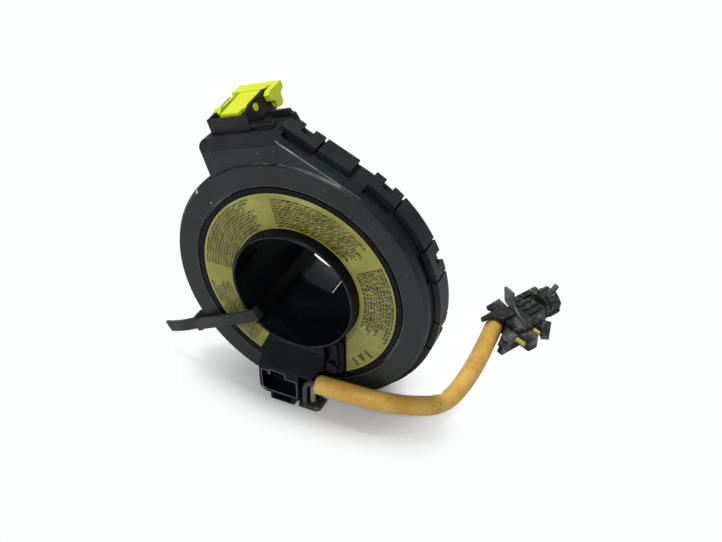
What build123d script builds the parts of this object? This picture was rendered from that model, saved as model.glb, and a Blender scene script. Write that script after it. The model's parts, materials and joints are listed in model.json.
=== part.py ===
from build123d import *
from math import atan2, cos, degrees, pi, radians, sin, sqrt, tan
import os

# Steering clock spring, standing on its rim with the lead laid beside it.
# Millimetres. The rotor turns about the Y axis; the labelled face looks along -Y and +Z is up.
# The origin is on that axis, in the plane where the case meets the steering column bracket.
# "Depth" is measured backwards (+Y) from the front face of the cover ring.

# ---- driving dimensions -------------------------------------------------------------------
case_depth = 16.0            # front face of the cover ring to the back of the case
housing_tilt = 18.6          # the terminal housing leans this many degrees off straight up

running_gap = 0.6            # between rotor and stator, radially
axial_gap = 0.3              # between rotor and stator, along the axis
seat_gap = 0.2               # between rigid pieces that slide together

# cover: front ring and skirt of the stator
cover_radius = 52.0
cover_wall = 1.9
ring_face = 2.0              # thickness of the ring's face
ring_step = 0.8              # the ring stands this far in front of the housing's face
ring_edge = 0.5

# terminal housing, in its own upright frame (x along it, z out from the axis)
housing_left = -20.0
housing_top = cover_radius + 10.2
housing_shoulder = 3.4
flank_angle = 46.6           # direction of the straight flank's normal
flare_height = 6.3           # below the top the flank turns outwards
flare_lean = 35.0
bevel_height = 4.6
bevel_depth = 1.5

# rear case
rim_proud = 2.5              # pads and clips that grip the skirt
rim_radius = cover_radius + rim_proud
back_wall = 1.8
pad_front = 7.0              # depth where the pads begin
pad_setback = 0.6            # they stop this far short of the case's back
hook_window = 2.8            # opening in the skirt in front of each clip
clip_pitch = 33.5
clip_width = 13.2
clip_first = 55.5            # direction of the first clip on the round rim
clip_count = 8
clip_notch = 4.1             # in degrees
notch_front = 10.6
pad_slit = 0.9               # slit between a clip and its pad, in degrees
stud_circle = 44.0
stud_radius = 2.5
stud_length = 6.0
stud_first = 20.0
stud_count = 3
collar_wall = 2.2
collar_length = 3.0
rib_count = 12
rib_width = 1.2
rib_height = 1.4
bulge_left = -17.0
bulge_right = 4.0
bulge_bottom = 47.0
bulge_depth = 6.5
cheek_rise = 2.4             # the case's rear corner rises past the housing's top
cheek_left = 5.4
cheek_right = 15.6

# rotor
bore_radius = 24.2
lip_wall = 1.1
lip_height = 4.5
disc_radius = 42.3
disc_face = 0.3              # the label's seat, behind the ring's front face
disc_wall = 1.4
disc_rim = 2.0
hub_wall = 2.2
hub_length = 28.0            # sleeve behind the case
finger_length = 14.0         # two spring fingers end the sleeve, each between two slits
finger_slit = 3.0
finger_slits = (42, 88, 222, 268)
spool_gap = 2.8              # between the sleeve and the spool the ribbon lies on
spool_radius = bore_radius + hub_wall + spool_gap
spool_wall = 1.4
hook_width = 18.0
hook_reach = 1.9
hook_length = 1.9

# label
label_thickness = 0.2
label_inner = 25.6
label_outer = disc_radius - disc_rim - 0.3
label_end_angle = -116.3     # the film's left end is radial
label_end_x = 20.0           # its right end is upright

# ribbon cable inside
ribbon_thickness = 0.35
ribbon_turns = 3
ribbon_start = 3.0           # from the spool to the first turn
ribbon_slack = 1.5           # from the last turn to the skirt
ribbon_pitch = (cover_radius - cover_wall - spool_radius - ribbon_start - ribbon_slack) / (ribbon_turns + 0.25)
joint_height = 7.0
slide_sheet = 0.3
ribbon_gap = 0.3             # on each side, to the slide sheets
ribbon_width = case_depth - back_wall - ring_face - 2 * (slide_sheet + ribbon_gap)

# switch block at the foot of the rotor
block_left = -14.5
block_right = 3.0
block_front = 8.0            # in front of the ring's face
stand_level = -rim_radius    # what the part stands on: the rim and the block's cover share it
block_top = 4.9 - disc_radius
block_foot = stand_level + 4.0
block_wall = 1.2
carrier_wall = 1.6
cover_plate = 2.1
plate_right = 11.0
plate_front = -7.0
pin = 0.64
pin_pitch = 2.2
terminal_length = 2.2
terminal_place = 0.642       # the row's height in the mouth, as a share of it
key_step = 2.6               # the mouth's top is this much lower right of its key

# harness socket and its lever, in the housing's frame
socket_left = -14.8
socket_right = 2.4
socket_front = 4.6
socket_back = 23.6
socket_height = 5.8
socket_wall = 1.2
shroud_front = 12.8
shroud_side = 3.0
shroud_wall = 0.7
lever_pivot_depth = 11.6
lever_pivot_height = 5.8
lever_pin = 1.4
lever_wall = 1.3
lever_gap = 0.25
lever_side = 2.5             # its lobed end stands this far out past the socket
lever_tail = 4.0             # and this far behind it

# cable tie
tie_width = 4.8
tie_thickness = 1.3
tie_angle = 211.5
tie_shift = 4.1              # the strap runs this far beside the axis
tie_gap = 0.35
tie_head = (3.0, 7.2, 6.2)
tie_tail = 21.5
tie_tail_lift = 3.9          # its tail curves back by this much

# lead
sleeve_radius = 3.9
wire_radius = 1.1
sleeve_level = stand_level + sleeve_radius

# plug cluster at the end of the lead, in its own frame: x along it, origin where the sleeve ends
plug_heading = 62.0
plug_top = 8.5
plug_side = -13.3
plug_cap_radius = 5.7
plug_cap_length = 8.0
plug_cap_ribs = 8
plug_fin_wall = 0.9


# ---- helpers --------------------------------------------------------------------------------
face_y = -case_depth


def slab(sketch, front, back):
    """Solid of a sketch drawn in X and Z, between two depths."""
    return extrude(Plane.XZ.offset(-(face_y + back)) * sketch, amount=back - front, dir=(0, -1, 0))


def ring(outer, inner):
    return Circle(outer) - Circle(inner)


def polar(radius, angle):
    return (radius * cos(radians(angle)), radius * sin(radians(angle)))


def wedge(start, end):
    """Pie slice with its tip on the axis, wide enough for every ring."""
    reach = 2 * rim_radius
    middle = (start + end) / 2
    return Polygon((0, 0), polar(reach, start), polar(reach, middle), polar(reach, end), align=None)


def block(x0, x1, front, back, z0, z1):
    """Box between two depths."""
    return Pos((x0 + x1) / 2, face_y + (front + back) / 2, (z0 + z1) / 2) * Box(x1 - x0, back - front, z1 - z0)


def side_prism(points, x0, x1):
    """Prism along X of a profile given as (depth, height) points."""
    profile = Polygon(*[(face_y + d, z) for d, z in points], align=None)
    return extrude(Plane.YZ.offset(x0) * profile, amount=x1 - x0, dir=(1, 0, 0))


def edges_at_depth(solid, depth):
    return solid.edges().filter_by_position(Axis.Y, face_y + depth - 0.01, face_y + depth + 0.01)


in_housing = Rot(0, -housing_tilt, 0)


def housing_outline(radius, inset, flank):
    """Ring outline with the terminal housing on it, upright, moved in by inset."""
    left = housing_left + inset
    top = housing_top - inset
    bend = top - flare_height
    bend_x = (flank - bend * sin(radians(flank_angle))) / cos(radians(flank_angle))
    corner_x = bend_x - flare_height * tan(radians(flare_lean))
    house = Polygon((0, 0), polar(flank, flank_angle), (bend_x, bend), (corner_x, top), (left, top), (left, 0),
                    align=None)
    shoulder = house.vertices().sort_by_distance((left, top, 0))[0]
    return Circle(radius) + fillet(shoulder, housing_shoulder - inset / 2)


def flank_plate(inner, outer, start, end, front, back):
    """Plate on the straight flank, between two places along it."""
    plate = block(inner, outer, front, back, start, end)
    return Rot(0, -flank_angle, 0) * plate


clip_angles = [clip_first - i * clip_pitch for i in range(clip_count)]
pad_angles = [a - clip_pitch / 2 for a in clip_angles[:-1]]
pad_width = clip_pitch - clip_width - 2 * pad_slit
flank_clip = (18.4, 31.0)
flank_notch = (22.7, 26.8)
flank_pad = (4.2, 17.4)
skirt_seat = cover_radius + seat_gap


# ---- stator ---------------------------------------------------------------------------------
def make_stator_cover():
    back = case_depth - back_wall
    shell = slab(housing_outline(cover_radius, 0, cover_radius), ring_step, back)
    shell = chamfer(edges_at_depth(shell, ring_step), ring_edge)
    inner = housing_outline(cover_radius - cover_wall, cover_wall, cover_radius - cover_wall)
    shell -= slab(inner, ring_face, back)
    bevel = [(ring_step, housing_top - bevel_height), (ring_step - 1, housing_top - bevel_height),
             (ring_step - 1, housing_top + 1), (ring_step + bevel_depth * 1.2, housing_top + bevel_height * 0.2)]
    shell -= side_prism(bevel, housing_left - 1, housing_left + 40)
    window = block(socket_left + shroud_side, socket_right - shroud_side, shroud_front - 6, back,
                   housing_top - 2 * cover_wall, housing_top + 1)
    shell = in_housing * (shell - window)
    step = slab(Circle(cover_radius - ring_edge), 0, ring_step)
    step = chamfer(edges_at_depth(step, 0), ring_edge)
    shell += step
    shell -= slab(Circle(disc_radius + running_gap), -1, ring_face + 1)
    for angle in clip_angles:
        mouth = ring(cover_radius + 1, cover_radius - cover_wall * 0.6)
        mouth = mouth & wedge(angle - clip_width / 2, angle + clip_width / 2)
        shell -= slab(mouth, pad_front - hook_window, pad_front)
    shell -= in_housing * flank_plate(cover_radius - cover_wall * 0.6, cover_radius + 2, *flank_clip,
                                      pad_front - hook_window, pad_front)
    return shell


def make_stator_case():
    front = case_depth - back_wall
    pad_back = case_depth - pad_setback
    case = flank_plate(skirt_seat, rim_radius, *flank_pad, pad_front, pad_back)
    case += flank_plate(skirt_seat, rim_radius, flank_clip[0], flank_clip[1] + 2, pad_front, pad_back)
    case -= slab(housing_outline(skirt_seat, 0, skirt_seat), 0, front)
    case -= flank_plate(skirt_seat, rim_radius + 1, *flank_notch, notch_front, case_depth)
    case += slab(housing_outline(skirt_seat, 0, skirt_seat), front, case_depth)
    bulge = block(bulge_left, bulge_right, case_depth, case_depth + bulge_depth, bulge_bottom, housing_top)
    case += chamfer(edges_at_depth(bulge, case_depth + bulge_depth), 1.5)
    cheek = Polygon((cheek_left, housing_top - 1), (cheek_left, housing_top + cheek_rise),
                    (cheek_right - 2.4, housing_top + cheek_rise), (cheek_right - 1.8, housing_top + 1),
                    (cheek_right - 0.6, housing_top + 0.6), (cheek_right, housing_top - 2.5),
                    (cheek_right + 0.8, housing_top - flare_height), (cheek_left, housing_top - flare_height),
                    align=None)
    case += slab(cheek, front, case_depth)
    case = in_housing * case
    for angle, width in [(a, clip_width) for a in clip_angles] + [(a, pad_width) for a in pad_angles]:
        pad = ring(rim_radius, skirt_seat) & wedge(angle - width / 2, angle + width / 2)
        case += slab(pad, pad_front, pad_back)
    for angle in clip_angles:
        notch = ring(rim_radius + 1, skirt_seat) & wedge(angle - clip_notch / 2, angle + clip_notch / 2)
        case -= slab(notch, notch_front, case_depth)
    hub_hole = bore_radius + hub_wall + running_gap
    for i in range(rib_count):
        rib = block(hub_hole + collar_wall / 2, cover_radius - 3, case_depth, case_depth + rib_height,
                    -rib_width / 2, rib_width / 2)
        angle = stud_first + (i + 0.5) * 360 / rib_count
        if abs(angle - 90 - housing_tilt) > 40:
            case += Rot(0, -angle, 0) * rib
    for i in range(stud_count):
        x, z = polar(stud_circle, stud_first + i * 360 / stud_count)
        stud = slab(Pos(x, z) * Circle(stud_radius), case_depth, case_depth + stud_length)
        case += chamfer(edges_at_depth(stud, case_depth + stud_length), 0.6)
    case += slab(Circle(hub_hole + collar_wall), case_depth, case_depth + collar_length)
    case -= slab(Circle(hub_hole), 0, case_depth + collar_length + 1)
    return case


def make_slide_sheets():
    inner = spool_radius + running_gap
    outer = cover_radius - cover_wall - seat_gap
    front = slab(ring(outer, inner), ring_face, ring_face + slide_sheet)
    seat = case_depth - back_wall
    rear = slab(ring(outer, inner), seat - slide_sheet, seat)
    return front, rear


def ribbon_run(radius, turns):
    """Spiral of half circles, from the +X side outwards."""
    arcs = []
    for i in range(2 * turns):
        shift = ribbon_pitch / 4 * (1 if i % 2 else -1)
        start = 180 * (i % 2)
        arcs.append(CenterArc((shift, 0), radius + ribbon_pitch / 4 + i * ribbon_pitch / 2, start, 180))
    return arcs


def make_flat_cable():
    middle = (ring_face + case_depth - back_wall) / 2
    inner = ribbon_run(spool_radius + ribbon_start, ribbon_turns)
    outer = ribbon_run(spool_radius + ribbon_start + ribbon_thickness, ribbon_turns)
    caps = [Line(inner[0] @ 0, outer[0] @ 0), Line(inner[-1] @ 1, outer[-1] @ 1)]
    return slab(make_face([*inner, *outer, *caps]), middle - ribbon_width / 2, middle + ribbon_width / 2)


def make_outer_cable_joint():
    base = housing_top - cover_wall - 1
    joint = block(socket_left + shroud_side + 1, socket_right - shroud_side - 1, ring_face + 1,
                  case_depth - back_wall, base - joint_height, base)
    return in_housing * chamfer(joint.edges().filter_by(Axis.X), 0.8)


# ---- harness socket and lever -----------------------------------------------------------------
def make_harness_socket():
    base = housing_top
    top = base + socket_height
    plate = [(socket_front, base), (socket_front, top), (socket_front + 0.8, top + 0.8),
             (socket_front + 4.9, top + 2.4), (socket_back - 3.6, top + 3.2), (socket_back - 1.3, top + 2.4),
             (socket_back - 3.0, top + 2.0), (socket_back - 3.0, top - 1.5), (socket_back - 0.8, top - 2.2),
             (socket_back, base)]
    left = [(socket_front, base), (socket_front, top), (socket_back - 2.8, top + 1.2), (socket_back, top + 0.6),
            (socket_back, base)]
    body = block(socket_left, socket_right, socket_front, socket_back, base, base + 0.6)
    body += block(socket_left, socket_right, socket_front, socket_front + socket_wall, base, top)
    body += side_prism(left, socket_left, socket_left + socket_wall)
    body += side_prism(plate, socket_right - socket_wall, socket_right)
    shroud = block(socket_left + shroud_side, socket_right - shroud_side, shroud_front, socket_back, base, top)
    mouth = block(socket_left + shroud_side + shroud_wall, socket_right - shroud_side - shroud_wall,
                  shroud_front + 1, socket_back + 1, base + 0.6, top - shroud_wall)
    body = body + shroud - mouth
    neck_left = socket_left + shroud_side + seat_gap
    neck_right = socket_right - shroud_side - seat_gap
    body += block(neck_left, neck_right, shroud_front - 6 + seat_gap, case_depth - back_wall - seat_gap,
                  base - cover_wall - 1, base)
    loop = block(socket_right, socket_right + 9.6, socket_front + 0.2, socket_front + 3, base + 0.9, base + 2.1)
    body += loop - block(socket_right + 1.4, socket_right + 8.4, socket_front + 1, socket_front + 2.2, base, top)
    bore = Pos(0, face_y + lever_pivot_depth, base + lever_pivot_height) * Rot(0, 90, 0)
    body -= bore * Cylinder(lever_pin + seat_gap, 60)
    return in_housing * body


def make_harness_terminals():
    middle = (socket_left + socket_right) / 2
    pins = []
    for row in range(2):
        for i in range(4):
            x = middle + (i - 1.5) * pin_pitch
            z = housing_top + 2.2 + row * 1.7
            pins.append(block(x - pin / 2, x + pin / 2, shroud_front + 1, shroud_front + 6, z, z + pin))
    return in_housing * Compound(pins)


def make_lock_lever():
    """Broad sloping plate with a tongue in front and a bridge with a lobed end behind."""
    top = housing_top + socket_height
    depth = lever_pivot_depth
    height = housing_top + lever_pivot_height
    inner_left = socket_left + socket_wall + lever_gap
    inner_right = socket_right - socket_wall - lever_gap
    tip = socket_front + socket_wall + 0.8
    rear = socket_back + 0.5
    tail = socket_back + lever_tail
    plate = [(tip, top - 0.6), (tip, top + 0.7), (tail, top + 2.9), (tail, top + 1.2), (rear, top + 1.2)]
    lever = side_prism(plate, inner_left + 3.6, inner_right)
    lever -= block(inner_right - 2.6, inner_right + 1, tip - 1, depth - 2.1, height - 3, height + 9)
    web = [(rear - 2.6, top + 0.9), (rear - 2.6, top + 2.6), (tail, top + 2.9), (tail, top + 1.2)]
    lever += side_prism(web, inner_left, inner_right)
    bridge = [(rear, top + 0.8), (rear, top + 2.7), (tail, top + 2.9), (tail, top + 0.4), (rear + 1.4, top - 0.6)]
    lever += side_prism(bridge, inner_left, socket_right + lever_side)
    lobe = [(rear - 6.4, top + 1.4), (rear - 4.6, top + 2.6), (rear, top + 2.7), (tail, top + 2.9),
            (tail, top + 0.4), (rear + 0.9, top - 0.8), (rear + 0.8, top - 4.2), (rear - 1.0, top - 5.0),
            (rear - 2.8, top - 4.6), (rear - 3.9, top - 1.4), (rear - 5.8, top - 1.0)]
    lever += side_prism(lobe, socket_right + lever_gap, socket_right + lever_side)
    arm = [(depth - 1.9, height), (depth - 1.2, height - 1.6), (depth + 1.0, height - 1.9), (rear, top - 0.4),
           (rear, top + 1.6), (rear - 2.6, top + 1.6), (depth + 2.0, height + 1.2), (depth, height + 1.7)]
    for x0 in (inner_left, inner_right - lever_wall):
        lever += side_prism(arm, x0, x0 + lever_wall)
    for x0, x1 in ((socket_left, inner_left), (inner_right, socket_right)):
        boss = Pos((x0 + x1) / 2, face_y + depth, height) * Rot(0, 90, 0)
        lever += boss * Cylinder(lever_pin, x1 - x0 + 0.4)
    return in_housing * lever


# ---- rotor ------------------------------------------------------------------------------------
def make_rotor_face():
    disc = slab(Circle(disc_radius), disc_face, disc_face + disc_wall)
    disc += slab(ring(disc_radius, disc_radius - disc_rim), 0, disc_face)
    lip = slab(Circle(bore_radius + lip_wall), -lip_height, disc_face)
    disc += chamfer(edges_at_depth(lip, -lip_height), 0.4)
    hood = side_prism([(disc_face, -18), (-lip_height, -18), (-lip_height, -25), (-block_front, block_top + 1.2),
                       (-block_front, block_top), (disc_face, block_top)], -20, 20)
    plan = Polygon((-7.5, -18), (12, -18), (13.5, -29), (8.5, block_top), (block_left, block_top),
                   (block_left + 0.6, block_top + 3), (-10.5, -25.5), align=None)
    disc += hood & slab(plan, -20, 20)
    panel = Polygon((10, -20), (19.4, -18.5), (19.6, -33.5), (8, block_top), align=None)
    disc += slab(panel, -2.4, disc_face)
    for x, z in ((9.6, -33.4), (15.4, -32.0)):
        disc += slab(Pos(x, z) * Circle(2.4), -3.6, 0)
    disc += slab(Polygon((16.6, -19.6), (17.6, -19.6), (18.4, -30), (17.4, -30), align=None), -3.4, 0)
    carrier = slab(Polygon((block_left, block_top + 2), (8.6, block_top + 2), (8.6, stand_level + cover_plate),
                           (block_left, stand_level + cover_plate + 2), align=None),
                   -carrier_wall - 2 * axial_gap, -2 * axial_gap)
    disc += carrier
    disc -= slab(Circle(bore_radius), -20, 20)
    return disc


def make_rotor_hub():
    seat = disc_face + disc_wall
    outer = bore_radius + hub_wall
    back = case_depth + hub_length
    hub = slab(ring(outer, bore_radius), seat, back)
    hub += slab(ring(spool_radius, bore_radius), seat, seat + spool_wall)
    hub += slab(ring(spool_radius, spool_radius - spool_wall), seat, case_depth - back_wall - axial_gap)
    hook_front = case_depth + collar_length + axial_gap
    for i in range(4):
        grip = ring(outer + hook_reach, bore_radius) & wedge(i * 90 - hook_width / 2, i * 90 + hook_width / 2)
        hub += slab(grip, hook_front, hook_front + hook_length)
    for angle in finger_slits:
        slit = ring(outer + 1, bore_radius - 1) & wedge(angle - finger_slit / 2, angle + finger_slit / 2)
        hub -= slab(slit, back - finger_length, back + 1)
    for angle in (178, 143, -44, 70):
        rib = ring(bore_radius + 0.1, bore_radius - 1.1) & wedge(angle - 5, angle + 5)
        hub += slab(rib, seat, seat + 10)
    return hub


def make_face_label():
    """Printed film round the bore, open where the switch block stands."""
    opening = Polygon((0, 0), polar(rim_radius, label_end_angle), (label_end_x, -rim_radius), (label_end_x, -12),
                      align=None)
    return slab(ring(label_outer, label_inner) - opening, disc_face - label_thickness, disc_face)


def make_inner_cable_joint():
    seat = disc_face + disc_wall + spool_wall
    joint = ring(spool_radius + 2.2, spool_radius) & wedge(-98, -82)
    return slab(joint, seat + 1, case_depth - back_wall - axial_gap - 1)


def make_switch_socket():
    rear = -carrier_wall - 2 * axial_gap
    shell = block(block_left, block_right, -block_front, rear, block_foot, block_top)
    shell = fillet(shell.edges().filter_by(Axis.Y).sort_by_distance((block_left, face_y, block_foot))[0], 3.0)
    left = block_left + block_wall
    right = block_right - block_wall
    foot = block_foot + block_wall
    top = block_top - block_wall
    mouth = Polygon((left, foot), (right, foot), (right, top - key_step), (-3.2, top - key_step), (-3.2, top), (-9.6, top),
                    (-9.6, top - 2.2), (-10.7, top - 2.2), (-10.7, top - 0.8), (left, top - 0.8), align=None)
    mouth = fillet(mouth.vertices().sort_by_distance((left, foot, 0))[0], 2.2)
    shell -= slab(mouth, -block_front - 1, rear - 0.8)
    shelf = block(-9.8, 0.2, -block_front, -4.4, block_foot - 3.1, block_foot)
    shell += shelf - block(-8.7, -0.9, -block_front - 1, -5.2, block_foot - 2.2, block_foot)
    return shell


def make_switch_terminals():
    floor = -carrier_wall - 2 * axial_gap - 0.8
    middle = (block_left + block_right) / 2
    foot = block_foot + block_wall
    row = foot + terminal_place * (block_top - block_wall - key_step - foot)
    pins = [block(middle + (i - 2.5) * pin_pitch - pin / 2, middle + (i - 2.5) * pin_pitch + pin / 2,
                  floor - terminal_length, floor, row, row + pin) for i in range(6)]
    return Compound(pins)


def make_block_cover():
    plate = block(block_right - 0.8, plate_right, plate_front, -2 * axial_gap, stand_level, stand_level + cover_plate)
    corner = (plate_right, face_y + plate_front, stand_level)
    plate = chamfer(plate.edges().filter_by(Axis.Z).sort_by_distance(corner)[0], 1.2)
    return plate


# ---- cable tie --------------------------------------------------------------------------------
def tie_outline(grow):
    """Strap loop seen along the rim: through the bore, round the sleeve's end and back over the rim."""
    far_side = tie_shift + tie_width / 2
    front = -lip_height - tie_gap - grow
    inner = sqrt(bore_radius ** 2 - far_side ** 2) - tie_gap - tie_thickness - grow
    back = case_depth + hub_length + tie_gap + grow
    rim = rim_radius + tie_gap + grow
    return [(inner, front), (inner, back), (bore_radius + hub_wall + tie_gap + grow, back),
            (rim, case_depth + tie_gap + grow / 2), (rim, -tie_gap - grow),
            (bore_radius + lip_wall + grow / 2, front)]


def make_cable_tie():
    def loop(grow):
        points = [(radius, face_y + depth) for radius, depth in tie_outline(grow)]
        return Polygon(*points, align=None)
    strap = extrude(loop(tie_thickness) - loop(0), amount=tie_width / 2, both=True)
    outside = rim_radius + tie_gap
    thick, tall, wide = tie_head
    head = Pos(outside + tie_thickness / 2 + thick / 2, face_y + tall / 2 - 1.6, 0) * Box(thick, tall, wide)
    head = chamfer(head.edges(), 0.5)
    root = (outside + thick - 0.5, face_y - 0.1)
    middle = (root[0] + tie_tail / 2, root[1] + tie_tail_lift / 4)
    end = (root[0] + tie_tail, root[1] + tie_tail_lift)
    near = ThreePointArc(root, middle, end)
    far = ThreePointArc(*[(x, y + tie_thickness) for x, y in (root, middle, end)])
    profile = make_face([near, far, Line(near @ 0, far @ 0), Line(near @ 1, far @ 1)])
    tail = extrude(profile, amount=tie_width / 2, both=True)
    return Rot(0, -tie_angle, 0) * Pos(0, 0, tie_shift) * (strap + head + tail)


# ---- lead -------------------------------------------------------------------------------------
# Centre line of the sleeve, from the block to the plug, as (x, depth, z).
sleeve_points = [(10.0, -4.8, block_top - sleeve_radius), (35.0, -5.0, -40.0), (46.2, 2.6, -45.0),
                 (55.4, 13.4, -50.5), (58.8, 27.5, sleeve_level), (59.5, 48.4, sleeve_level),
                 (58.4, 69.0, sleeve_level)]


def corner_radii(points, share):
    """Arc at each corner, taking the given share of the shorter run."""
    radii = []
    for a, b, c in zip(points, points[1:], points[2:]):
        run = min((b - a).length, (c - b).length)
        turn = radians((b - a).get_angle(c - b))
        radii.append(share * run / tan(turn / 2))
    return radii


def swept(points, radius, share):
    points = [Vector(x, face_y + depth, z) for x, depth, z in points]
    radii = corner_radii(points, share)
    path = FilletPolyline(*points, radius=radii)
    section = Plane(origin=path @ 0, z_dir=path % 0) * Circle(radius)
    return sweep(section, path=path), path.length, radii


def make_lead_sleeve():
    tube, length, radii = swept(sleeve_points, sleeve_radius, 0.45)
    ideal = pi * sleeve_radius ** 2 * length
    print("sleeve length", round(length, 1), "radii", [round(r, 1) for r in radii],
          "volume ratio", round(tube.volume / ideal, 4))
    return tube


def make_wire(aside, above, foot_x):
    """Lead wire from the sleeve's mouth, beside and above its middle, down to the block's cover."""
    start = Vector(*sleeve_points[0])
    along = (Vector(*sleeve_points[1]) - start).normalized()
    across = Vector(0, 0, 1).cross(along).normalized()
    start = start + across * aside + along.cross(across) * above
    corner = start - along * ((start.X - foot_x) / along.X)
    foot = (corner.X, corner.Y, stand_level + cover_plate)
    return swept([tuple(start), tuple(corner), foot], wire_radius, 0.9)[0]


# ---- plug cluster -----------------------------------------------------------------------------
end_x, end_depth, end_z = sleeve_points[-1]
last_run = Vector(*sleeve_points[-1]) - Vector(*sleeve_points[-2])
end_turn = degrees(atan2(last_run.Y, last_run.X)) - plug_heading
at_plug = Pos(end_x, face_y + end_depth, stand_level) * Rot(0, 0, plug_heading)


def plug_box(x0, x1, y0, y1, z0, z1):
    return Pos((x0 + x1) / 2, (y0 + y1) / 2, (z0 + z1) / 2) * Box(x1 - x0, y1 - y0, z1 - z0)


def plug_plate(points, z0, z1):
    """Flat piece of the plug cluster, from a plan outline."""
    return extrude(Plane.XY.offset(z0) * Polygon(*points, align=None), amount=z1 - z0, dir=(0, 0, 1))


def make_plug_body():
    outline = [polar(sleeve_radius - 0.4, end_turn + 90), (14.5, 1.9), (22.0, 1.2), (22.0, -9.5),
               (14.0, plug_side), (1.2, plug_side), (1.2, -5.6), polar(sleeve_radius, end_turn - 90)]
    body = plug_plate(outline, 0, plug_top)
    body = chamfer(body.edges().filter_by_position(Axis.Z, plug_top - 0.01, plug_top + 0.01), 0.5)
    for i in range(3):
        body += plug_box(12.5, 20.5, -8.6 + 3.4 * i, -7.2 + 3.4 * i, plug_top - 0.2, plug_top + 0.9)
    body -= plug_box(10.0, 16.0, plug_side - 1, plug_side + 1.2, 5.0, 6.6)
    return body


def make_plug_latch():
    latch = plug_box(14.8, 28.5, 2.2, 5.0, 2.0, 9.0)
    latch = chamfer(latch.edges().filter_by(Axis.X), 0.7)
    for i in range(4):
        latch -= plug_box(17.0 + 2.8 * i, 18.2 + 2.8 * i, 1.0, 9.0, 8.3, 11.0)
    return latch


def make_plug_cap():
    """Ribbed nut at the far end."""
    across = Pos(22.0, -4.5, plug_cap_radius + 0.6) * Rot(0, 90, 0)
    cap = across * Pos(0, 0, plug_cap_length / 2) * Cylinder(plug_cap_radius, plug_cap_length)
    for i in range(plug_cap_ribs):
        rib = Pos(plug_cap_radius, 0, plug_cap_length / 2 + 0.6) * Box(1.8, 1.9, plug_cap_length - 2.4)
        cap += across * Rot(0, 0, (i + 0.5) * 360 / plug_cap_ribs) * rib
    mouth = across * Pos(0, 0, plug_cap_length - 1.4) * Cylinder(plug_cap_radius - 1.4, 3)
    return (cap - mouth) & plug_box(20, 40, -20, 20, 0, 20)


def make_plug_peg():
    far = 22.0 + plug_cap_length
    peg = Pos(far, -3.8, 9.2) * Rot(0, 50, 0) * Pos(0, 0, 1.4) * Cylinder(1.25, 6.4)
    return peg & plug_box(far, far + 9, -8, 2, 0, 20)


def make_plug_fin():
    """Thin blade across the plug's top."""
    length = sqrt(4.8 ** 2 + 17.0 ** 2)
    along = Pos(10.6, 4.0, 0) * Rot(0, 0, degrees(atan2(-17.0, -4.8)))
    outline = [(0, plug_top), (-1.2, plug_top + 0.7), (-2.6, 15.4), (-2.0, 16.0), (4.8, 17.3), (5.2, 16.8),
               (5.1, 14.0), (7.0, 11.2), (11.0, 9.8), (length - 0.2, 9.3), (length, plug_top)]
    profile = extrude(Plane.XZ * Polygon(*outline, align=None), amount=plug_fin_wall / 2, both=True)
    return along * profile


def make_plug_clip():
    outline = [(8.6, 6.8), (0.6, 6.3), (0.4, 4.6), (1.6, 2.4), (-6.6, 2.2), (-7.2, 0.7), (-2.2, -0.3), (0.4, -4.6),
               (6.9, -5.0)]
    return plug_plate(outline, plug_top, plug_top + 1.5)


def make_side_plug():
    side = plug_plate([(1.2, -5.6), (1.2, plug_side), (-8.0, plug_side), (-8.0, -10.4)], 0, 6.0)
    bevel = plug_plate([(-12, -20), (-5.5, -20), (-5.5, 0), (-12, 0)], 4.6, 8)
    side -= bevel
    return side - plug_box(-9.0, -3.0, -12.6, -8.6, 0.9, 3.6)


def make_plug_foot():
    foot = plug_box(2.6, 8.4, -18.6, plug_side, 0, 6.0)
    foot = fillet(foot.edges().filter_by(Axis.Z).sort_by(Axis.Y)[:2], 1.2)
    return foot


def make_plug_tab():
    return plug_plate([(14.0, plug_side), (18.6, -11.2), (20.2, -14.4), (14.4, -19.0), (12.0, -16.8)], 0.8, 4.8)


def make_plug_wires():
    wires = []
    for x, length in ((0.4, 4.4), (10.6, 3.2)):
        wires.append(Pos(x, plug_side - length / 2, 4.6) * Rot(90, 0, 0) * Cylinder(1.0, length))
    return Compound(wires)


def make_parts():
    front_sheet, rear_sheet = make_slide_sheets()
    return {
        "stator_cover": make_stator_cover(),
        "stator_case": make_stator_case(),
        "front_slide_sheet": front_sheet,
        "rear_slide_sheet": rear_sheet,
        "flat_cable": make_flat_cable(),
        "outer_cable_joint": make_outer_cable_joint(),
        "harness_socket": make_harness_socket(),
        "harness_terminals": make_harness_terminals(),
        "cable_tie": make_cable_tie(),
        "lock_lever": make_lock_lever(),
        "rotor_face": make_rotor_face(),
        "rotor_hub": make_rotor_hub(),
        "face_label": make_face_label(),
        "inner_cable_joint": make_inner_cable_joint(),
        "switch_socket": make_switch_socket(),
        "switch_terminals": make_switch_terminals(),
        "block_cover": make_block_cover(),
        "lead_sleeve": make_lead_sleeve(),
        "lead_wire_grey": make_wire(-1.0, 1.0, 4.4),
        "lead_wire_white": make_wire(1.2, -1.7, 6.9),
        "plug_body": at_plug * make_plug_body(),
        "plug_latch": at_plug * make_plug_latch(),
        "plug_cap": at_plug * make_plug_cap(),
        "plug_peg": at_plug * make_plug_peg(),
        "plug_fin": at_plug * make_plug_fin(),
        "plug_clip": at_plug * make_plug_clip(),
        "side_plug": at_plug * make_side_plug(),
        "plug_foot": at_plug * make_plug_foot(),
        "plug_tab": at_plug * make_plug_tab(),
        "plug_wires": at_plug * make_plug_wires(),
    }


os.makedirs("parts", exist_ok=True)
for name, solid in make_parts().items():
    export_step(solid, f"parts/{name}.step")
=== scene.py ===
import json
import math
import bpy
import numpy as np
from mathutils import Matrix, Vector


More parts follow.
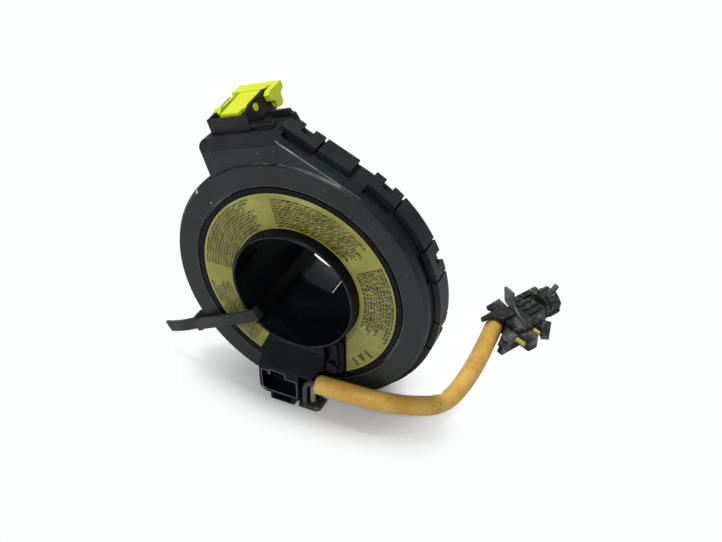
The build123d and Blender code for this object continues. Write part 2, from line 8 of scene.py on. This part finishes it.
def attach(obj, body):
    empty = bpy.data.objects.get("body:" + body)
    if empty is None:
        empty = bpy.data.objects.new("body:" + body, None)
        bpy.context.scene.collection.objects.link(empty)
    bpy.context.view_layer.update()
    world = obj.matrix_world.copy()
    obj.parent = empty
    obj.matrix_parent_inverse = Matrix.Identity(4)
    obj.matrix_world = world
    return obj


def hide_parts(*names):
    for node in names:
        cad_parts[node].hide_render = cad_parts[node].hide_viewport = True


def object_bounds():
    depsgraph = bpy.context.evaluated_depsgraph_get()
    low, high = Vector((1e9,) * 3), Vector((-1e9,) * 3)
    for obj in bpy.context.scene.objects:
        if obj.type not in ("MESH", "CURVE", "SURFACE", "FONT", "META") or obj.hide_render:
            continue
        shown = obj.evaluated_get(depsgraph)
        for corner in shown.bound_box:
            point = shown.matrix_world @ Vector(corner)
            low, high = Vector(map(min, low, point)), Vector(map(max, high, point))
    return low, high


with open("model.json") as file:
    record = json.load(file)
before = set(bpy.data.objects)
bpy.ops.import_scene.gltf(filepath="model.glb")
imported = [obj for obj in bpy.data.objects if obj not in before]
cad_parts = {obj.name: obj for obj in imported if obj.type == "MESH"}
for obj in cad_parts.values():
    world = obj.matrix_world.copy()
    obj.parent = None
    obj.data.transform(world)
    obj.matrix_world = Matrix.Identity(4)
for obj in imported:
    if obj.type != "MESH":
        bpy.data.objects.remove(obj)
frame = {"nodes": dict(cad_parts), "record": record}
nodes = frame["nodes"]
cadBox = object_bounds()
scene = bpy.context.scene
mm = 0.001
stand = cadBox[0][2] / mm           # level that the part stands on
arcPerDegree = 0.01745              # length of one degree at radius 1
print("frame loaded", len(nodes))


# A method that adds the Math node of one operation, with its two values swapped where reflected.
def mathsMethod(operation, reflected=False):
    def method(self, other=None):
        pair = (other, self) if reflected else (self, other)
        return self.mat.maths(operation, *pair)
    return method


# One output of a shader node. Arithmetic on it adds Math nodes, so that a pattern reads as a formula.
class Signal:
    def __init__(self, mat, socket):
        self.mat = mat
        self.socket = socket

    __add__ = mathsMethod("ADD")
    __radd__ = mathsMethod("ADD", reflected=True)
    __sub__ = mathsMethod("SUBTRACT")
    __rsub__ = mathsMethod("SUBTRACT", reflected=True)
    __mul__ = mathsMethod("MULTIPLY")
    __rmul__ = mathsMethod("MULTIPLY", reflected=True)
    __truediv__ = mathsMethod("DIVIDE")
    __gt__ = mathsMethod("GREATER_THAN")
    __lt__ = mathsMethod("LESS_THAN")
    abs = mathsMethod("ABSOLUTE")
    floor = mathsMethod("FLOOR")
    fract = mathsMethod("FRACT")
    power = mathsMethod("POWER")
    max = mathsMethod("MAXIMUM")

    # Held between 0 and 1.
    def clip(self):
        return self.mat.maths("ADD", self, 0.0, clamp=True)


# A material under construction. Its x, y and z are the object's coordinates in millimetres.
class Material:
    def __init__(self, name):
        self.data = bpy.data.materials.new(name)
        self.data.use_nodes = True
        self.tree = self.data.node_tree
        self.tree.nodes.clear()
        self.shader = self.node("BsdfPrincipled")
        self.surface = Signal(self, self.shader.outputs["BSDF"])
        self.output = self.node("OutputMaterial", inputs={"Surface": self.surface})
        place = self.signal("TexCoord", output="Object")
        split = self.node("SeparateXYZ", inputs={"Vector": place})
        self.x, self.y, self.z = (Signal(self, socket) * (1 / mm) for socket in split.outputs)

    # A tuple is a colour, and gets its alpha here.
    def feed(self, socket, value):
        if isinstance(value, Signal):
            self.tree.links.new(value.socket, socket)
        elif isinstance(value, tuple):
            socket.default_value = (*value, 1.0)
        else:
            socket.default_value = value

    # Adds any node: its settings first, then a value or a link for each of its inputs.
    def node(self, kind, settings=(), inputs=()):
        made = self.tree.nodes.new("ShaderNode" + kind)
        for name, value in dict(settings).items():
            setattr(made, name, value)
        for name, value in dict(inputs).items():
            self.feed(made.inputs[name], value)
        return made

    def signal(self, kind, settings=(), inputs=(), output=0):
        return Signal(self, self.node(kind, settings, inputs).outputs[output])

    def maths(self, operation, first, second=None, clamp=False):
        inputs = {0: first} if second is None else {0: first, 1: second}
        return self.signal("Math", {"operation": operation, "use_clamp": clamp}, inputs)

    # Rises smoothly from 0 at low to 1 at high, or falls where high is the smaller.
    def step(self, value, low, high):
        return self.signal("MapRange", {"interpolation_type": "SMOOTHSTEP"},
                           {"Value": value, "From Min": low, "From Max": high}, "Result")

    # 1 close to zero, fading out at the first distance and full from the second inwards.
    def near(self, value, fades, full):
        return self.step(value.abs(), fades, full)

    def vector(self, x, y, z):
        return self.signal("CombineXYZ", inputs={"X": x, "Y": y, "Z": z})

    def noiseAt(self, place, detail=3.0, rough=0.5):
        return self.signal("TexNoise", inputs={"Vector": place, "Scale": 1.0, "Detail": detail,
                                               "Roughness": rough})

    # Cloudy noise whose features are about the given size in millimetres, longer where stretched.
    def noise(self, size, detail=3.0, rough=0.5, stretch=(1, 1, 1)):
        place = self.vector(self.x / (size * stretch[0]), self.y / (size * stretch[1]),
                            self.z / (size * stretch[2]))
        return self.noiseAt(place, detail, rough)

    def random(self, value):
        return self.signal("TexWhiteNoise", {"noise_dimensions": "1D"}, {"W": value}, "Value")

    def mix(self, share, first, second):
        return self.signal("Mix", {"data_type": "RGBA"}, {"Factor": share, 6: first, 7: second}, 2)

    # Raises the surface by the height, times the depth in millimetres.
    def bump(self, height, depth):
        raised = self.signal("Bump", inputs={"Distance": depth * mm, "Strength": 1.0, "Height": height})
        self.feed(self.shader.inputs["Normal"], raised)

    def finish(self, **looks):
        for name, value in looks.items():
            self.feed(self.shader.inputs[name.replace("_", " ")], value)
        return self.data


# From 0 to 255 as a colour is usually written, to the light that it stands for.
def linear(*colour):
    return tuple(c / 255 / 12.92 if c <= 10 else ((c / 255 + 0.055) / 1.055) ** 2.4 for c in colour)


def meshObject(name, points, faces, smooth=True):
    mesh = bpy.data.meshes.new(name)
    mesh.from_pydata(points, [], faces)
    mesh.polygons.foreach_set("use_smooth", [smooth] * len(mesh.polygons))
    mesh.update()
    made = bpy.data.objects.new(name, mesh)
    scene.collection.objects.link(made)
    return made


def dress(piece, material):
    piece.data.materials.clear()
    piece.data.materials.append(material)


cameraView = {"azimuth": 24.55, "elevation": 37.01, "lens": 49.86, "sensor": 36,
              "place": (143.9, -273.6, 229.4), "near": 0.01, "far": 20}


# Level camera without roll, turned to its azimuth and looking down by its elevation.
def makeCamera(view):
    azimuth, elevation = math.radians(view["azimuth"]), math.radians(view["elevation"])
    back = Vector((math.sin(azimuth) * math.cos(elevation), -math.cos(azimuth) * math.cos(elevation),
                   math.sin(elevation)))
    right = Vector((math.cos(azimuth), math.sin(azimuth), 0))
    turned = Matrix((right, back.cross(right), back)).transposed()
    data = bpy.data.cameras.new("camera")
    data.lens, data.sensor_width = view["lens"], view["sensor"]
    data.clip_start, data.clip_end = view["near"], view["far"]
    camera = bpy.data.objects.new("camera", data)
    camera.matrix_world = Matrix.Translation(Vector(view["place"]) * mm) @ turned.to_4x4()
    scene.collection.objects.link(camera)
    return camera


scene.camera = makeCamera(cameraView)

# The lead: x, depth behind the ring's front and z of the points that its middle line is drawn from.
lead = {
    "front": -16.0,
    "points": [(10.0, -4.8, -41.3), (24.0, -4.9, -40.6), (35.0, -5.0, -40.0), (46.2, 2.6, -45.0),
               (55.4, 13.4, -50.5), (58.8, 27.5, -50.6), (59.5, 48.4, -50.6), (58.4, 69.0, -50.6)],
    "steps": 24,
    "radius": 3.9, "wall": 0.45, "around": 40,
    "lip": 0.15, "lipLength": 0.12,             # rounding of the sleeve's mouth
    "insideRings": [12, 4, 0],                  # stations of the line where the inside has a ring
    "waveHeight": 0.012, "waveLength": 7.0,     # ripples of the radius, heights as shares of it
    "grainHeight": 0.008, "grainLength": 2.2,
    "flattening": 0.5,                          # share of the radius lost for each bend of 1/mm
    "straightTo": 45.0,                         # the corner is the tightest place after this length
    "creases": [(0.0, 2.4, 0.2), (7.0, 3.0, 0.07)],     # length past the corner, width, depth
    "floorGap": 0.02}


# Smooth curve of the third order that starts and ends at the end points.
def splineLine(points, steps):
    curve = bpy.data.curves.new("line", "CURVE")
    curve.dimensions = "3D"
    spline = curve.splines.new("NURBS")
    spline.points.add(len(points) - 1)
    for point, place in zip(spline.points, points):
        point.co = (*place, 1)
    spline.order_u = 3
    spline.use_endpoint_u = True
    spline.resolution_u = steps
    holder = bpy.data.objects.new("line", curve)
    scene.collection.objects.link(holder)
    made = bpy.data.meshes.new_from_object(holder)
    line = np.array([vertex.co for vertex in made.vertices])
    bpy.data.objects.remove(holder)
    bpy.data.meshes.remove(made)
    return line


# Sum of sine waves with random heights, lengths and starts, the later ones shorter and lower.
def smoothNoise(values, seed, waves=6):
    rng = np.random.default_rng(seed)
    return sum(rng.uniform(-1, 1) * np.sin(values * rng.uniform(0.3, 1) * i + rng.uniform(0, 6.3)) / i
               for i in range(1, waves + 1))


# Directions along the line, level to its side, and over it.
def tubeFrames(line):
    along = np.gradient(line, axis=0)
    along /= np.linalg.norm(along, axis=1)[:, None]
    side = np.cross(along, (0, 0, 1.0))
    side /= np.linalg.norm(side, axis=1)[:, None]
    return along, side, np.cross(side, along)


# One ring of points round each middle, at the reach given for each angle.
def ringsRound(middle, side, over, angle, reach):
    spoke = np.cos(angle)[:, None] * side[:, None] + np.sin(angle)[:, None] * over[:, None]
    return middle[:, None] + reach[..., None] * spoke


# Four-sided faces between neighbouring rings, and one flat face over each end.
def tubeFaces(ringCount, around):
    first = np.arange((ringCount - 1) * around).reshape(-1, around)
    after = np.roll(first, -1, axis=1)
    sides = np.stack((first, after, after + around, first + around), axis=-1).reshape(-1, 4)
    near, far = np.arange(around)[::-1], np.arange(around) + (ringCount - 1) * around
    return [*sides.tolist(), near.tolist(), far.tolist()]


# The sleeve's radius is even but for a ripple along and around it. It is flattened sideways by the
# bend, pinched on the inside of the corner, and its mouth turns in to show the wall.
def makeSleeve(line, lengths, size):
    along, side, over = tubeFrames(line)
    place = lengths[:, None] / mm
    angle = np.linspace(0, 2 * math.pi, size["around"], endpoint=False)
    turn = np.gradient(along, axis=0)
    bend = np.linalg.norm(turn, axis=1)[:, None] / np.gradient(lengths)[:, None] * mm
    corner = place[np.argmax(np.where(place > size["straightTo"], bend, 0))]
    toward = np.arctan2(np.sum(turn * over, axis=1), np.sum(turn * side, axis=1))[:, None]
    wave = size["waveHeight"] * smoothNoise(place / size["waveLength"] + 2 * np.sin(angle), seed=3)
    grain = size["grainHeight"] * smoothNoise(place / size["grainLength"] + angle, seed=8, waves=3)
    flat = 1 - size["flattening"] * bend * np.cos(angle) ** 2
    inner = np.clip(np.cos(angle - toward), 0, 1) ** 2
    pinch = sum(depth * np.exp(-((place - corner - past) / width) ** 2)
                for past, width, depth in size["creases"])
    reach = size["radius"] * mm * (1 + wave + grain) * flat * (1 - pinch * inner)
    outside = ringsRound(line, side, over, angle, reach)

    at = [*size["insideRings"], 0]
    middle = line[at]
    middle[-1] -= size["lipLength"] * mm * along[0]
    reach = np.full((len(at), size["around"]), (size["radius"] - size["wall"]) * mm)
    reach[-1] = (size["radius"] - size["lip"]) * mm
    inside = ringsRound(middle, side[at], over[at], angle, reach)

    rings = np.concatenate((inside, outside))
    rings[..., 2] = np.maximum(rings[..., 2], (stand + size["floorGap"]) * mm)
    return meshObject("lead_tube", rings.reshape(-1, 3).tolist(), tubeFaces(len(rings), size["around"]))


line = splineLine([Vector((x, lead["front"] + depth, z)) * mm for x, depth, z in lead["points"]],
                  lead["steps"])
lengths = np.concatenate([[0], np.cumsum(np.linalg.norm(np.diff(line, axis=0), axis=1))])
sleeve = makeSleeve(line, lengths, lead)
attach(sleeve, "rotor")
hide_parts("lead_sleeve")
print("lead made")


def radius(mat):
    return (mat.x * mat.x + mat.z * mat.z).power(0.5)


# Direction round the axis in degrees: 0 to the right, 90 upwards.
def bearing(mat):
    return mat.maths("ARCTAN2", mat.z, mat.x) * (180 / math.pi)


# Rubbed corners of the cover: the ring's step, brightest above the label, the ring's mouth, the flank's
# front edge, and two chips at the left.
coverWear = {"stepRadius": 51.65, "mouthRadius": 43.05, "ringFront": -15.1, "mouthFront": -15.9,
             "flankAngle": 65.2, "flankReach": 51.9, "flankFront": -14.7, "flankBack": -15.35,
             "chips": [(-40.3, 31.4, 0.75), (-34.3, 28.3, 0.3)], "chipFront": -14.9}


def coverEdges(mat):
    marks = coverWear
    out, angle = radius(mat), bearing(mat)
    facing = math.radians(marks["flankAngle"])
    flank = mat.x * math.cos(facing) + mat.z * math.sin(facing) - marks["flankReach"]
    top = mat.step(angle, 62.0, 70.0) * mat.step(angle, 112.0, 96.0)
    ringStep = mat.near(out - marks["stepRadius"], 0.4, 0.15) * (mat.y < marks["ringFront"])
    flankEdge = mat.near(flank, 0.35, 0.12) * (mat.y < marks["flankFront"]) * (mat.y > marks["flankBack"])
    mouth = mat.near(out - marks["mouthRadius"], 0.25, 0.1) * (mat.y < marks["mouthFront"])
    rubbed = mat.step(mat.noise(6, 3), 0.38, 0.62)
    chips = sum(spot(mat, *chip) for chip in marks["chips"]) * (mat.y < marks["chipFront"])
    ring = (ringStep * (0.04 + 0.4 * top) + mouth * 0.12) * rubbed
    flankEdge = flankEdge * (0.25 + 0.9 * mat.step(mat.x, 2.0, -3.0)) * (0.4 + rubbed * 0.6)
    return ring + flankEdge + chips * 3.0


# Round spot with a ragged edge, seen from the front.
def spot(mat, x, z, size):
    away = ((mat.x - x) * (mat.x - x) + (mat.z - z) * (mat.z - z)).power(0.5)
    return mat.step(away + mat.noise(0.5, 2), size + 0.6, size + 0.3)


# Painted light and shade on the hub: a little paler outside than in its bore, which is painted shade; one
# panel far back is painted lit, and patches near the mouth are painted glints.
hubPaintedLight = {"outside": 24.7, "inside": 24.6, "panelDepth": (13.0, 15.5), "panelFrom": (-139.0, -136.5),
           "panelTo": (-91.0, -94.0), "glintDepth": (8.0, -8.0)}


def hubLightAndShade(mat):
    marks = hubPaintedLight
    out, angle = radius(mat), bearing(mat)
    # Painted light: a lit panel far back in the bore.
    panel = mat.step(mat.y, *marks["panelDepth"]) * mat.step(angle, *marks["panelFrom"])
    panel = panel * mat.step(angle, *marks["panelTo"]) * (0.32 + 0.3 * mat.noise(5, 3))
    # Painted glints in patches near the mouth. The outside is left paler than the bore, which is painted
    # shade.
    patches = mat.step(mat.noise(12, 1), 0.56, 0.72) * mat.step(mat.y, *marks["glintDepth"])
    return (panel + patches * 0.12) * (out < marks["inside"]) + (out > marks["outside"]) * 0.24


# Painted highlights on the rotor's face, along the inner corner of its lip and the front edge of its hood.
faceLightAndShade = {"lipRadius": 24.35, "lipFront": -20.1, "hoodLevel": -25.2, "hoodFront": -20.4,
            "gapRadius": 40.2, "gapFront": -15.6, "rimRadius": 40.0}


def faceHighlights(mat):
    marks = faceLightAndShade
    # Painted highlights along the lip's inner corner and the hood's front edge, in patches.
    lip = mat.near(radius(mat) - marks["lipRadius"], 0.3, 0.1) * (mat.y < marks["lipFront"])
    hood = mat.near(mat.z - marks["hoodLevel"], 0.35, 0.1) * (mat.y < marks["hoodFront"])
    lip = lip * 0.3 * mat.step(mat.noise(5, 3), 0.3, 0.6)
    return lip + hood * 0.12 * mat.step(mat.noise(3, 3), 0.4, 0.6)


# Dark line where the film ends, and a darker rim outside it.
def faceShade(mat):
    marks = faceLightAndShade
    out = radius(mat)
    gap = mat.near(out - marks["gapRadius"], 0.35, 0.15) * (mat.y < marks["gapFront"])
    return gap + (out > marks["rimRadius"]) * 0.45


# Painted highlight round the keyed mouth of the switch socket, on its front face only: the mouth is the boxes
# from the bottom up, given by their left, right and top.
mouthHighlightRim = {"bottom": -49.3, "rim": 0.26, "front": -23.92,
             "boxes": [(-13.3, 1.8, -41.2), (-9.6, -3.2, -38.6), (-10.7, -9.6, -40.8), (-13.3, -10.7, -39.4)]}


def mouthHighlights(mat):
    marks = mouthHighlightRim
    rim = 0.0
    for left, right, top in marks["boxes"]:
        box = (mat.x > left - marks["rim"]) * (mat.x < right + marks["rim"])
        box = box * (mat.z < top + marks["rim"]) * (mat.z > marks["bottom"] - marks["rim"])
        rim = box.max(rim)
    # Painted highlight on the mouth's rim, in patches.
    return rim * (mat.y < marks["front"]) * (0.35 + 0.5 * mat.noise(4, 3))


# Dust in marbled patches.
def plugDust(mat):
    return mat.step(mat.noise(6, 5, 0.7), 0.47, 0.66) * 0.24


# The tie's strap is dark where it passes through the bore.
def strapShade(mat):
    return mat.step(mat.y, -20.6, -17.5) * (radius(mat) < 24.3)


# Each plastic has its colour and the colour that its wear and painted highlights go to, and may have its own
# edges and shade.
plastics = {
    "cover_plastic": {"base": (17, 23, 23), "wornAndLit": (150, 156, 154), "edges": coverEdges},
    "case_plastic": {"base": (20, 23, 24), "wornAndLit": (110, 114, 112), "roughness": 0.46},
    "rotor_plastic": {"base": (6, 9, 12), "wornAndLit": (90, 96, 98), "shine": 0.1, "edges": faceHighlights,
                      "shade": faceShade},
    "hub_plastic": {"base": (6, 8, 11), "wornAndLit": (80, 84, 84), "roughness": 0.55, "shine": 0.05,
                    "edges": hubLightAndShade},
    "block_plastic": {"base": (6, 9, 12), "wornAndLit": (130, 138, 140), "shine": 0.1, "edges": mouthHighlights},
    "socket_plastic": {"base": (17, 16, 16), "wornAndLit": (120, 112, 104), "shine": 0.25},
    "plug_plastic": {"base": (25, 28, 26), "wornAndLit": (170, 172, 164), "roughness": 0.5, "grain": 0.3,
                     "dust": 0.8, "edges": plugDust},
    # The fin is paler than the plug: a painted highlight.
    "fin_painted_highlight": {"base": (70, 74, 72), "wornAndLit": (190, 192, 186), "roughness": 0.4, "grain": 0.1,
                    "dust": 0.6, "shine": 0.4},
    "tie_plastic": {"base": (44, 50, 48), "wornAndLit": (120, 124, 120), "roughness": 0.55, "shine": 0.08,
                    "shade": strapShade},
    "wire_grey": {"base": (62, 64, 62), "wornAndLit": (120, 120, 116), "roughness": 0.4},
    "wire_white": {"base": (120, 118, 106), "wornAndLit": (96, 92, 78), "roughness": 0.4},
    "wire_yellow": {"base": (190, 176, 84), "wornAndLit": (120, 110, 60), "roughness": 0.4}}
darkest = (0.0012, 0.0013, 0.0015)


# Moulded plastic: clouds of darker and paler tone, scuffs in fine level streaks, and specks of dust.
def plastic(name, base, wornAndLit, roughness=0.42, grain=0.03, dust=0.5, shine=0.3, edges=None, shade=None):
    mat = Material(name)
    base, wornAndLit = linear(*base), linear(*wornAndLit)
    patch = mat.noise(16, 4)
    cloud = mat.noise(34, 2)
    fine = mat.noise(0.9, 3)
    streak = mat.noise(1.3, 4, 0.7, stretch=(6, 6, 0.5))
    specks = mat.step(mat.noise(0.7, 2), 0.69, 0.75) * mat.step(mat.noise(9, 2), 0.42, 0.6)
    scuff = mat.step(streak, 0.60, 0.80) * mat.step(patch, 0.45, 0.65)
    darker, paler, palest = (tuple(c * share for c in base) for share in (0.7, 1.3, 1.9))
    tone = mat.mix(mat.step(cloud, 0.38, 0.62), darker, paler)
    tone = mat.mix(mat.step(patch, 0.42, 0.62) * 0.5, tone, palest)
    marks = scuff * 0.3 + specks * dust
    # Edges add wear, and on the rotor, the hub and the switch socket they add painted light.
    if edges:
        marks = marks + edges(mat)
    tone = mat.mix(marks.clip(), tone, wornAndLit)
    if shade:
        tone = mat.mix(shade(mat).clip(), tone, darkest)
    mat.bump(fine * 0.7 + patch * 2.0, grain)
    rough = roughness + cloud * 0.3 - 0.15 + scuff * 0.1
    return mat.finish(Base_Color=tone, Roughness=rough, Specular_IOR_Level=shine)


# Lever: two close yellows in patches, with dirt rubbed in.
leverLook = {"yellow": (188, 196, 28), "paler": (202, 208, 48), "dirt": (160, 158, 30)}


def leverMaterial(look):
    mat = Material("lever_plastic")
    patch = mat.noise(7, 3)
    dirt = mat.step(mat.noise(2.2, 4, 0.6), 0.58, 0.75)
    tone = mat.mix(patch, linear(*look["yellow"]), linear(*look["paler"]))
    tone = mat.mix(dirt * 0.35, tone, linear(*look["dirt"]))
    mat.bump(mat.noise(0.6, 2) + patch, 0.03)
    return mat.finish(Base_Color=tone, Roughness=0.4 + dirt * 0.2, Subsurface_Weight=0.08,
                      Specular_IOR_Level=0.3)


# Plain finishes: two colours mixed by noise of a size.
plainLooks = {
    # Tinned brass darkened to painted shade, for the pins deep in the socket.
    "tinned_brass": {"size": 1.5, "colours": ((70, 66, 54), (44, 40, 30)), "roughness": 0.45, "metal": 1.0},
    "ribbon_film": {"size": 6, "colours": ((150, 96, 40), (120, 70, 26)), "roughness": 0.25, "metal": 0.0},
    "slide_film": {"size": 8, "colours": ((206, 204, 192), (190, 186, 170)), "roughness": 0.3, "metal": 0.0}}


def plainMaterial(name, size, colours, roughness, metal):
    mat = Material(name)
    tone = mat.mix(mat.noise(size, 2), *(linear(*colour) for colour in colours))
    return mat.finish(Base_Color=tone, Metallic=metal, Roughness=roughness)


# Print on the film. Each field has its first and last direction, its inner and outer radius, and how
# far its rows' two ends wander, in degrees. The bars and the wedge are at directions of their own.
labelLook = {
    "firstRow": 26.2, "pitch": 1.19, "dash": 1.9,
    "fields": [(117, 180, 26.2, 39.1, 8, 1), (38, 105.5, 26.2, 38.1, 9, 1), (-26, 30, 27.3, 39.2, 12, 1),
               (-168, -121.5, 29.8, 39.3, 4, 0)],
    "bars": (-49.6, -37.6), "wedge": -43.6, "markInner": 35.0, "markOuter": 39.0,
    "barHalf": 0.65, "wedgeSlope": 0.42, "markInk": 0.8, "ink": (24, 26, 10),
    "film": (125, 122, 44), "filmPaler": (140, 138, 61), "blotch": (156, 156, 90), "rim": (164, 162, 98),
    "grimeAndShade": (96, 94, 40)}


# Rows on arcs round the axis, broken into dashes of uneven length, 1 where there is ink.
def labelInk(mat, look):
    out, angle = radius(mat), bearing(mat)
    rows = (out - look["firstRow"]) / look["pitch"]
    row = rows.floor()
    startWander, endWander = mat.random(row + 7.3), mat.random(row + 31.7)
    printed = 0.0
    for low, high, inner, outer, lowWander, highWander in look["fields"]:
        inside = (angle > (low + startWander * lowWander)) * (angle < (high - endWander * highWander))
        printed = printed + inside * (out > inner) * (out < outer)
    run = angle * out * arcPerDegree
    warp = mat.noiseAt(mat.vector(run / 2.6, row * 9.7, 0.0), 1) * 2.2
    cell = run / look["dash"] + warp + mat.random(row + 55.0) * 7.0
    dashes = mat.near(cell.fract() - 0.5, 0.44, 0.30)
    strokes = mat.noiseAt(mat.vector(run / 0.3, rows * 1.6, 4.0), 1)
    ink = mat.near(rows.fract() - 0.5, 0.47, 0.33) * dashes * (0.75 + 0.45 * mat.step(strokes, 0.35, 0.62))
    faded = 0.8 + 0.25 * mat.step(mat.noise(5, 3), 0.35, 0.6)
    bold = 0.8 + 0.2 * mat.step(mat.random(row + 3.1), 0.4, 0.9)
    return (ink * faded * bold * printed).clip()


# Two bars and a wedge between them that widens inwards.
def labelMarks(mat, look):
    out, angle = radius(mat), bearing(mat)
    bars = 0.0
    for place in look["bars"]:
        bars = bars + (((angle - place).abs() * out * arcPerDegree) < look["barHalf"])
    bars = bars * (out < look["markOuter"])
    across = (angle - look["wedge"]).abs() * out * arcPerDegree
    wedge = across < (look["markOuter"] - out) * look["wedgeSlope"]
    return (bars + wedge) * (out > look["markInner"])


# The film has paler blotches, a paler rim, grime in patches, and painted shade that deepens to the lower
# right.
def labelMaterial(look):
    mat = Material("label_film")
    ink = (labelInk(mat, look) + labelMarks(mat, look) * look["markInk"]).clip()
    patch = mat.noise(9, 3)
    film = mat.mix(mat.step(patch, 0.3, 0.7), linear(*look["film"]), linear(*look["filmPaler"]))
    film = mat.mix(mat.step(mat.noise(12, 2), 0.52, 0.66) * 0.6, film, linear(*look["blotch"]))
    film = mat.mix(mat.step(radius(mat), 39.2, 39.9) * 0.5, film, linear(*look["rim"]))
    grimeAndShade = mat.step(mat.noise(3.2, 4, 0.6), 0.55, 0.8)
    # Painted shade, darker towards the lower right, in the grime's colour.
    corner = mat.step(mat.x - mat.z, 10.0, 50.0)
    film = mat.mix(grimeAndShade * 0.35 + 0.35 * corner, film, linear(*look["grimeAndShade"]))
    mat.bump(patch * 5 + mat.noise(3.5, 2) * 2, 0.05)
    return mat.finish(Base_Color=mat.mix(ink, film, linear(*look["ink"])), Roughness=0.36 + grimeAndShade * 0.15,
                      Specular_IOR_Level=0.3)


# Varnished tubing: amber in two close tones, with brown smudges and clusters of dark specks.
sleeveLook = {"amber": (186, 144, 60), "paler": (202, 164, 82), "smudge": (146, 106, 42),
              "speck": (84, 50, 26)}


def sleeveMaterial(look):
    mat = Material("sleeve_cloth")
    tone = mat.mix(mat.step(mat.noise(7, 4), 0.3, 0.7), linear(*look["amber"]), linear(*look["paler"]))
    smudge = mat.step(mat.noise(3.4, 5, 0.65), 0.58, 0.78)
    tone = mat.mix(smudge * 0.6, tone, linear(*look["smudge"]))
    specks = mat.step(mat.noise(0.9, 2), 0.64, 0.70) * mat.step(mat.noise(12, 2), 0.44, 0.60)
    tone = mat.mix(specks * 0.8, tone, linear(*look["speck"]))
    mat.bump(mat.noise(0.5, 2) * 0.5 + mat.noise(2.5, 3) * 2, 0.06)
    return mat.finish(Base_Color=tone, Roughness=0.46 + smudge * 0.1, Subsurface_Weight=0.05,
                      Specular_IOR_Level=0.3)


finishes = {name: plastic(name, **look) for name, look in plastics.items()}
finishes.update({name: plainMaterial(name, **look) for name, look in plainLooks.items()})
finishes["lever_plastic"] = leverMaterial(leverLook)
finishes["label_film"] = labelMaterial(labelLook)
finishes["sleeve_cloth"] = sleeveMaterial(sleeveLook)
ownFinish = {"rotor_hub": "hub_plastic", "switch_socket": "block_plastic", "plug_fin": "fin_painted_highlight"}
for entry in frame["record"]["subparts"]:
    name = entry["node"]
    dress(nodes[name], finishes[ownFinish.get(name, entry["material_slot"])])
dress(sleeve, finishes["sleeve_cloth"])
print("materials made")

# The floor is white paper: blown out away from the part, and left as lit in an oval round its foot.
floorLook = {"colour": (0.74, 0.75, 0.75), "white": (0.99, 1.0, 1.0), "reach": 3.0,
             "centre": (5.0, -12.0), "squash": 0.25, "lit": 12.0, "blown": 38.0, "leastWhite": 0.02}


def floorMaterial(look):
    mat = Material("white_floor")
    mat.finish(Base_Color=look["colour"], Roughness=1.0, Specular_IOR_Level=0.0)
    x, y = mat.x - look["centre"][0], mat.y - look["centre"][1]
    away = (x * x * look["squash"] + y * y).power(0.5)
    share = look["leastWhite"] + (1 - look["leastWhite"]) * mat.step(away, look["lit"], look["blown"])
    seen = mat.signal("LightPath", output="Is Camera Ray") * share
    white = mat.signal("Emission", inputs={"Color": look["white"]})
    blend = mat.signal("MixShader", inputs={0: seen, 1: mat.surface, 2: white})
    mat.feed(mat.output.inputs["Surface"], blend)
    return mat.data


reach, level = floorLook["reach"], stand * mm
floor = meshObject("floor", [(-reach, -reach, level), (reach, -reach, level), (reach, reach, level),
                             (-reach, reach, level)], [[0, 1, 2, 3]], smooth=False)
dress(floor, floorMaterial(floorLook))

# Square soft boxes aimed at the origin: place and width in metres, power in watts.
lamps = {"key": {"place": (-0.05, -0.75, 0.66), "width": 0.2, "power": 5},
         "overhead": {"place": (-0.1, 0.12, 1.0), "width": 0.22, "power": 9}}
worldLook = {"colour": (0.97, 0.985, 1, 1), "strength": 0.3}


def softBox(name, place, width, power):
    data = bpy.data.lights.new(name, "AREA")
    data.shape, data.size, data.energy = "SQUARE", width, power
    lamp = bpy.data.objects.new(name, data)
    lamp.location = place
    lamp.rotation_euler = (-Vector(place)).to_track_quat("-Z", "Y").to_euler()
    scene.collection.objects.link(lamp)


for name, lamp in lamps.items():
    softBox(name, **lamp)
scene.world = bpy.data.worlds.new("studio")
scene.world.use_nodes = True
background = scene.world.node_tree.nodes["Background"]
background.inputs["Color"].default_value = worldLook["colour"]
background.inputs["Strength"].default_value = worldLook["strength"]
scene.view_settings.view_transform = "Standard"
print("stage made")
